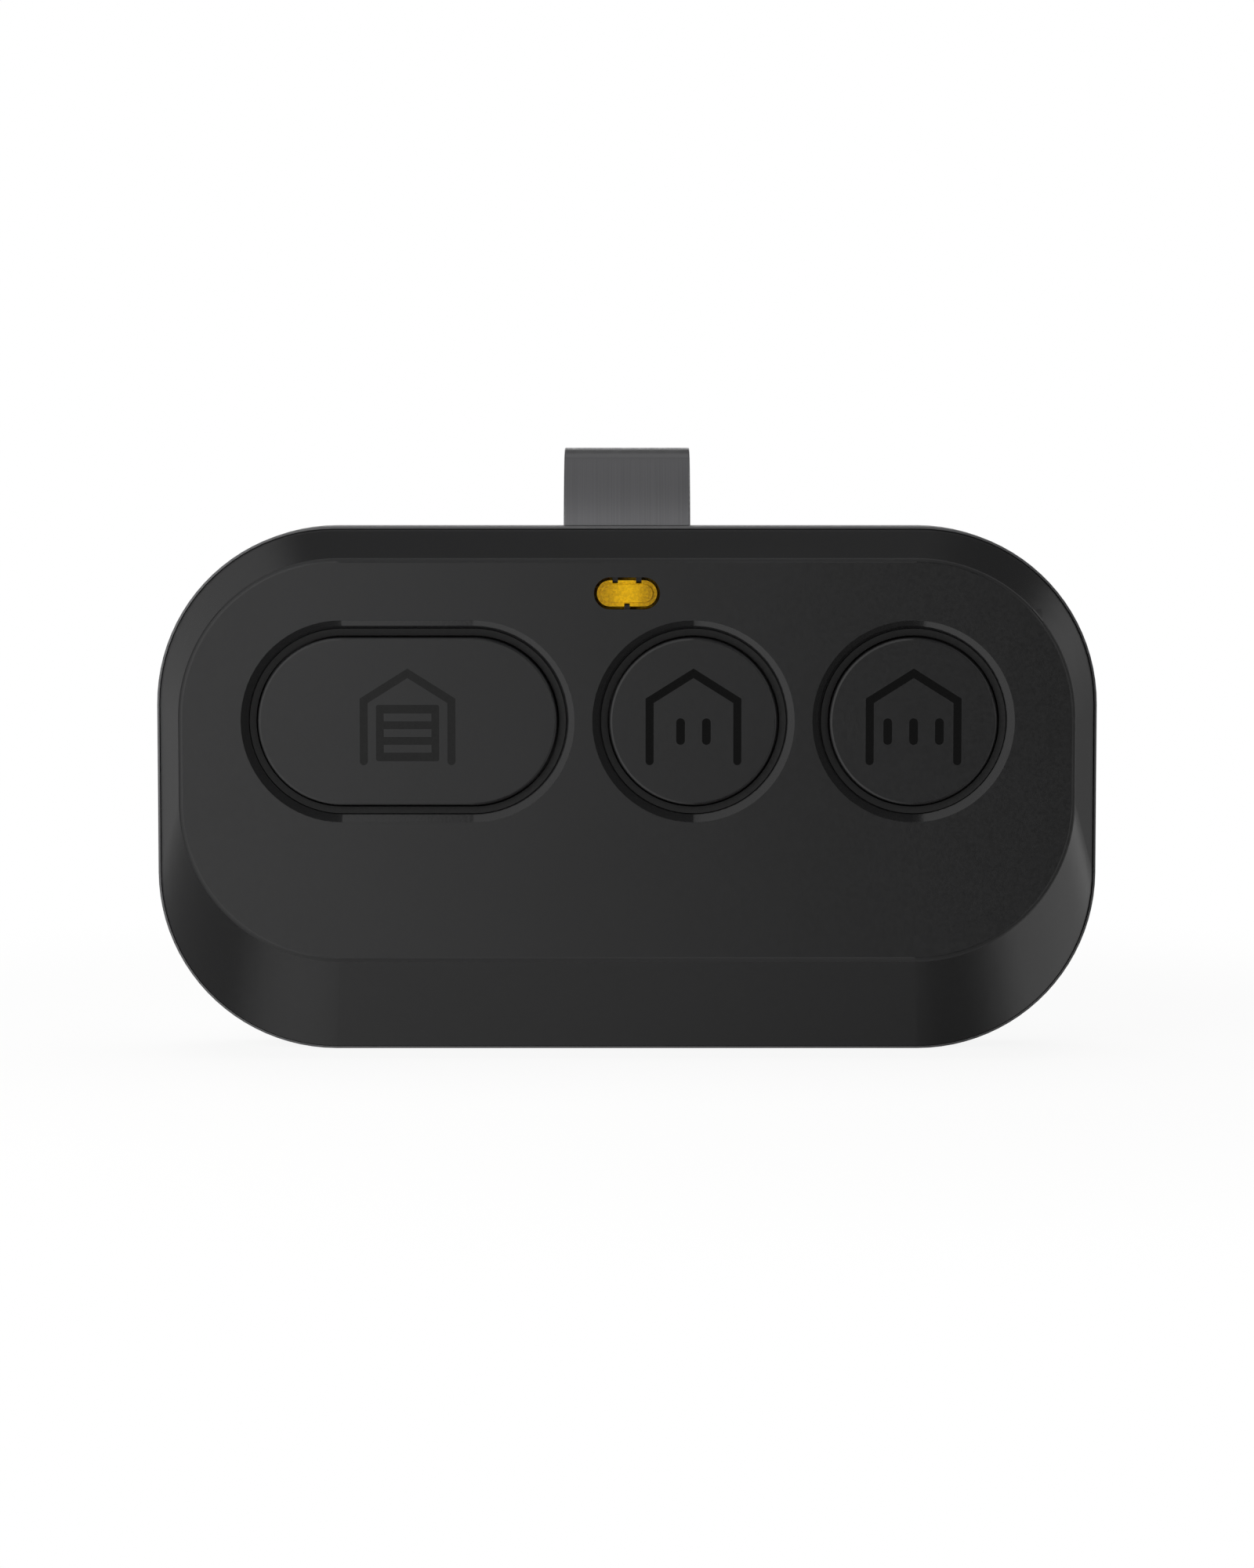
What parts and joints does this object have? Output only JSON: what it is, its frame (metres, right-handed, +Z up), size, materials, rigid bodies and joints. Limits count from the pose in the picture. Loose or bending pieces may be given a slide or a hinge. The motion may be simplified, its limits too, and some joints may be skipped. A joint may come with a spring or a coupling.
{
  "type": "garage door remote",
  "caption": "Visor-clip garage door remote: black split housing with sloped sides, push buttons marked with house symbols, amber status lens, steel clip and coin-slot battery cover.",
  "frame": {"origin": "middle of the flat lower edge of the rear housing, on which the remote stands", "axes": "+X to the user's right, +Y from the front face to the back, +Z up; the body is longest along X"},
  "size_m": [0.083, 0.03, 0.0531],
  "materials": {
    "black_shell": "fine matte moulded texture",
    "black_cap": "fine matte moulded texture",
    "black_collar": "satin moulded",
    "grey_mark": "flat printed inlay",
    "black_mark": "flat printed inlay",
    "amber_lens": "translucent amber",
    "green_board": "solder mask",
    "chip_black": "moulded epoxy",
    "switch_black": "moulded nylon",
    "plunger_white": "moulded nylon",
    "bright_steel": "plated",
    "spring_steel": "brushed along its length",
    "cell_steel": "nickel plated",
    "screw_steel": "black zinc",
    "tinned_wire": "tinned",
    "tan_ceramic": "fired ceramic",
    "black_ceramic": "glazed ceramic",
    "lamp_yellow": "epoxy",
    "seal_rubber": "moulded"
  },
  "bodies": {
    "housing": {"front_housing": "black_shell", "rear_housing": "black_shell", "button_guide": "black_collar", "light_pipe": "amber_lens", "circuit_board": "green_board", "status_light": "lamp_yellow", "microcontroller": "chip_black", "radio_chip": "chip_black", "crystal": "bright_steel", "loop_antenna": "tinned_wire", "capacitors": "tan_ceramic", "resistors": "black_ceramic", "battery_holder": "switch_black", "positive_contact": "bright_steel", "negative_contact": "bright_steel", "coin_cell": "cell_steel", "housing_screws": "screw_steel", "board_screws": "bright_steel", "long_switch_base": "switch_black", "long_switch_cover": "bright_steel", "middle_switch_base": "switch_black", "middle_switch_cover": "bright_steel", "right_switch_base": "switch_black", "right_switch_cover": "bright_steel"},
    "long_button": {"long_button_cap": "black_cap", "long_button_icon": "grey_mark", "long_switch_plunger": "plunger_white"},
    "middle_button": {"middle_button_cap": "black_cap", "middle_button_icon": "black_mark", "middle_switch_plunger": "plunger_white"},
    "right_button": {"right_button_cap": "black_cap", "right_button_icon": "black_mark", "right_switch_plunger": "plunger_white"},
    "battery_cover": {"battery_cover": "black_shell", "cover_seal": "seal_rubber"},
    "visor_clip": {"visor_clip": "spring_steel"}
  },
  "joints": [
    {"name": "long_button_press", "type": "slide", "parent": "housing", "child": "long_button", "axis": [0, 1, 0], "range_m": [0, 0.0004], "stiffness_N_per_m": 500},
    {"name": "middle_button_press", "type": "slide", "parent": "housing", "child": "middle_button", "axis": [0, 1, 0], "range_m": [0, 0.0004], "stiffness_N_per_m": 500},
    {"name": "right_button_press", "type": "slide", "parent": "housing", "child": "right_button", "axis": [0, 1, 0], "range_m": [0, 0.0004], "stiffness_N_per_m": 500},
    {"name": "battery_cover_turn", "type": "hinge", "parent": "housing", "child": "battery_cover", "pos_m": [0.02122, 0.00262, 0.02315], "axis": [0, 1, 0], "range_deg": [0, 40]},
    {"name": "visor_clip_slide", "type": "slide", "parent": "housing", "child": "visor_clip", "axis": [0, 0, 1], "range_m": [0, 0.022]}
  ]
}
